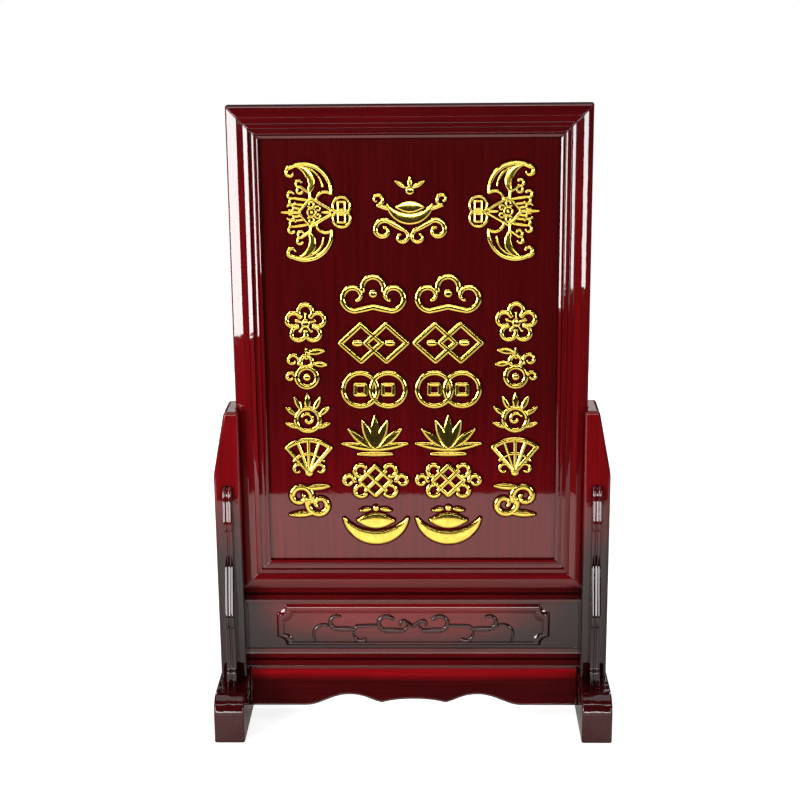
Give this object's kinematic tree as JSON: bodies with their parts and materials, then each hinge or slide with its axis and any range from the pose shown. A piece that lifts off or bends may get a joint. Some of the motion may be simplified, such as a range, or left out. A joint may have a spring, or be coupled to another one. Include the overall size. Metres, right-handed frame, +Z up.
{
  "type": "spirit tablet",
  "caption": "Standing spirit tablet built as a table screen: a moulded frame with a gilt relief panel lifts out of a footed stand with scalloped spandrels and aprons.",
  "frame": {"origin": "on the floor under the middle of the stand", "axes": "+Z up, -Y out of the tablet's front, +X to the right of someone who faces the front"},
  "size_m": [0.3052, 0.116, 0.48],
  "materials": {
    "lacquer": "glossy red-brown lacquer",
    "panel_lacquer": "glossy dark red lacquer with faint upright grain",
    "plain_wood": "bare wood, hidden in the joints",
    "screw_brass": "plain turned brass",
    "gilt": "polished gold with bevelled edges"
  },
  "bodies": {
    "stand": {"left_foot": "lacquer", "right_foot": "lacquer", "left_post": "lacquer", "right_post": "lacquer", "front_left_spandrel": "lacquer", "front_right_spandrel": "lacquer", "rear_left_spandrel": "lacquer", "rear_right_spandrel": "lacquer", "spandrel_dowels": "plain_wood", "upper_cross_rail": "lacquer", "lower_cross_rail": "lacquer", "carved_panel": "lacquer", "front_apron": "lacquer", "rear_apron": "lacquer"},
    "tablet": {"frame_top_rail": "lacquer", "frame_bottom_rail": "lacquer", "frame_left_stile": "lacquer", "frame_right_stile": "lacquer", "mitre_tongues": "plain_wood", "tablet_panel": "panel_lacquer", "back_board": "panel_lacquer", "back_board_screws": "screw_brass", "bat_left": "gilt", "bat_right": "gilt", "crown_emblem": "gilt", "inner_left_cloud": "gilt", "inner_left_lozenges": "gilt", "inner_left_coins": "gilt", "inner_left_lotus": "gilt", "inner_left_knot": "gilt", "inner_left_ingot": "gilt", "inner_right_cloud": "gilt", "inner_right_lozenges": "gilt", "inner_right_coins": "gilt", "inner_right_lotus": "gilt", "inner_right_knot": "gilt", "inner_right_ingot": "gilt", "outer_left_blossom": "gilt", "outer_left_gourd": "gilt", "outer_left_pearl": "gilt", "outer_left_fan": "gilt", "outer_left_scroll": "gilt", "outer_right_blossom": "gilt", "outer_right_gourd": "gilt", "outer_right_pearl": "gilt", "outer_right_fan": "gilt", "outer_right_scroll": "gilt"}
  },
  "joints": [
    {"name": "tablet_lift", "type": "slide", "parent": "stand", "child": "tablet", "axis": [0, 0, 1], "range_m": [0, 0.15]}
  ]
}
